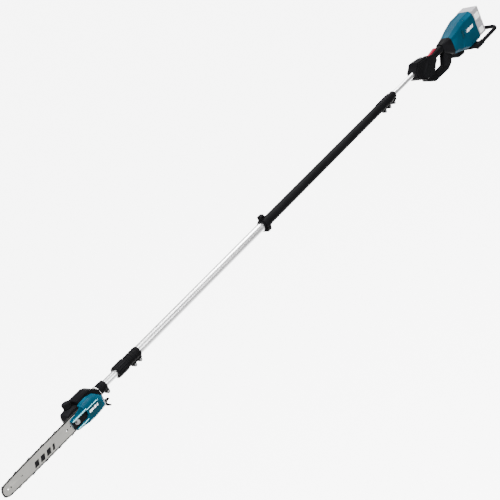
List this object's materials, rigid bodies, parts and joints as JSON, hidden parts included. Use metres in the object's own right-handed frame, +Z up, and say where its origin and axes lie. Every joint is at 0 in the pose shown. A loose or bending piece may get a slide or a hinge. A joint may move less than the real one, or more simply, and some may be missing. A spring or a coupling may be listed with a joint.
{
  "type": "telescoping pole saw",
  "caption": "Battery telescoping pole saw: chain bar and gear head on a sliding drive tube, grip sleeve, trigger handle, rear motor with plug-in packs and tail guard",
  "frame": {"origin": "On the pole axis at the middle of the grip sleeve.", "axes": "+X from the saw to the motor along the pole, +Z up away from the trigger loop, -Y to the sprocket cover side."},
  "size_m": [3.0323, 0.147, 0.1445],
  "materials": {
    "bright_tube": "drawn, satin",
    "black_grip": "fine matte texture",
    "black_plastic": "moulded, fine grain",
    "black_metal": "powder coated",
    "steel": "turned and plated",
    "journal_plastic": "machined, plain",
    "dark_plastic": "moulded, plain",
    "board": "coated board",
    "grey_plastic": "moulded, plain",
    "teal_plastic": "moulded, satin",
    "winding": "varnished winding",
    "red_plastic": "moulded, satin",
    "crimson_plastic": "moulded, satin",
    "pack_plastic": "moulded, fine grain",
    "pink_plastic": "moulded, plain",
    "light_ring": "smooth",
    "chain_steel": "oiled, dark",
    "bar_steel": "ground, satin"
  },
  "bodies": {
    "pole": {"outer_tube": "bright_tube", "grip_sleeve": "black_grip", "hand_stop": "black_plastic", "front_clamp": "black_plastic", "collet": "journal_plastic", "rear_clamp": "black_plastic", "clamp_bolts": "steel", "reducer_bush": "journal_plastic", "rear_tube": "bright_tube", "shaft_bushes": "journal_plastic", "handle_left": "black_plastic", "handle_right": "black_plastic", "handle_screws": "steel", "trigger_switch": "dark_plastic", "control_board": "board", "motor_housing_left": "teal_plastic", "motor_housing_right": "teal_plastic", "housing_screws": "steel", "stator": "winding", "motor_bearings": "steel", "battery_dock": "dark_plastic", "tail_guard": "black_metal", "guard_bracket": "black_plastic", "front_foot": "black_grip"},
    "collar": {"lock_collar": "black_plastic"},
    "trigger": {"trigger": "red_plastic"},
    "lever": {"lock_off_lever": "crimson_plastic"},
    "button": {"power_button": "grey_plastic"},
    "motor": {"rotor": "steel", "fan": "dark_plastic", "rear_drive_shaft": "steel"},
    "pack_upper": {"battery_upper": "pack_plastic"},
    "pack_upper_release": {"upper_release": "pink_plastic"},
    "pack_lower": {"battery_lower": "pack_plastic"},
    "pack_lower_release": {"lower_release": "pink_plastic"},
    "head": {"inner_tube": "bright_tube", "pole_bushes": "journal_plastic", "head_clamp": "black_plastic", "head_screws": "steel", "ring_gasket": "light_ring", "gear_case": "black_metal", "gear_case_lid": "black_metal", "head_bearings": "steel", "oil_tank": "black_plastic", "oil_pump": "steel", "bar_stud": "steel", "sprocket_cover": "teal_plastic", "saw_chain": "chain_steel", "branch_hook": "black_metal"},
    "front_shaft": {"front_drive_shaft": "steel", "bevel_pinion": "steel"},
    "sprocket": {"sprocket_shaft": "steel", "bevel_gear": "steel", "drive_sprocket": "steel"},
    "bar": {"guide_bar": "bar_steel", "tension_block": "steel"},
    "nose": {"nose_sprocket": "steel"},
    "tensioner": {"tension_screw": "steel"},
    "nut": {"cover_nut": "steel"},
    "cap": {"oil_cap": "black_plastic"}
  },
  "joints": [
    {"name": "reach_slide", "type": "slide", "parent": "pole", "child": "head", "axis": [-1, 0, 0], "range_m": [0, 1.2]},
    {"name": "collar_turn", "type": "hinge", "parent": "pole", "child": "collar", "pos_m": [-1.215, 0, 0], "axis": [1, 0, 0], "range_deg": [0, 120]},
    {"name": "trigger_pull", "type": "hinge", "parent": "pole", "child": "trigger", "pos_m": [0.7995, 0, -0.024], "axis": [0, -1, 0], "range_deg": [0, 14], "stiffness_Nm_per_rad": 0.8, "springref_deg": -5.73},
    {"name": "lock_off_press", "type": "hinge", "parent": "pole", "child": "lever", "pos_m": [0.7975, 0, 0.009], "axis": [0, 1, 0], "range_deg": [0, 5], "stiffness_Nm_per_rad": 0.8, "springref_deg": -5.73},
    {"name": "power_press", "type": "slide", "parent": "pole", "child": "button", "axis": [0, 0, -1], "range_m": [0, 0.0015], "stiffness_N_per_m": 400, "springref_m": -0.001},
    {"name": "motor_spin", "type": "hinge", "parent": "pole", "child": "motor", "pos_m": [0.9, 0, 0], "axis": [1, 0, 0], "continuous": true},
    {"name": "battery_upper_slide", "type": "slide", "parent": "pole", "child": "pack_upper", "axis": [1, 0, 0], "range_m": [0, 0.14]},
    {"name": "upper_release_press", "type": "slide", "parent": "pack_upper", "child": "pack_upper_release", "axis": [-1, 0, 0], "range_m": [0, 0.002], "stiffness_N_per_m": 400, "springref_m": -0.001},
    {"name": "battery_lower_slide", "type": "slide", "parent": "pole", "child": "pack_lower", "axis": [1, 0, 0], "range_m": [0, 0.14]},
    {"name": "lower_release_press", "type": "slide", "parent": "pack_lower", "child": "pack_lower_release", "axis": [-1, 0, 0], "range_m": [0, 0.002], "stiffness_N_per_m": 400, "springref_m": -0.001},
    {"name": "front_spin", "type": "hinge", "parent": "head", "child": "front_shaft", "pos_m": [-0.9, 0, 0], "axis": [1, 0, 0], "continuous": true},
    {"name": "sprocket_spin", "type": "hinge", "parent": "head", "child": "sprocket", "pos_m": [-1.4005, 0, 0], "axis": [0, 1, 0], "continuous": true},
    {"name": "bar_tension", "type": "slide", "parent": "head", "child": "bar", "axis": [1, 0, 0], "range_m": [0, 0.004]},
    {"name": "nose_spin", "type": "hinge", "parent": "bar", "child": "nose", "pos_m": [-1.7561, -0.03, -0.003], "axis": [0, 1, 0], "continuous": true},
    {"name": "tension_turn", "type": "hinge", "parent": "head", "child": "tensioner", "pos_m": [-1.46, -0.023, 0.008], "axis": [1, 0, 0], "range_deg": [0, 1800]},
    {"name": "cover_nut_turn", "type": "hinge", "parent": "head", "child": "nut", "pos_m": [-1.4625, -0.04, -0.003], "axis": [0, -1, 0], "range_deg": [0, 720]},
    {"name": "oil_cap_turn", "type": "hinge", "parent": "head", "child": "cap", "pos_m": [-1.4375, 0.013, 0.036], "axis": [0, 0, 1], "range_deg": [0, 540]}
  ],
  "couplings": [
    {"joint": "front_spin", "follows": "motor_spin", "ratio": 1},
    {"joint": "sprocket_spin", "follows": "motor_spin", "ratio": -0.65},
    {"joint": "nose_spin", "follows": "motor_spin", "ratio": -0.50556},
    {"joint": "tension_turn", "follows": "bar_tension", "rad_per_m": 7854}
  ]
}
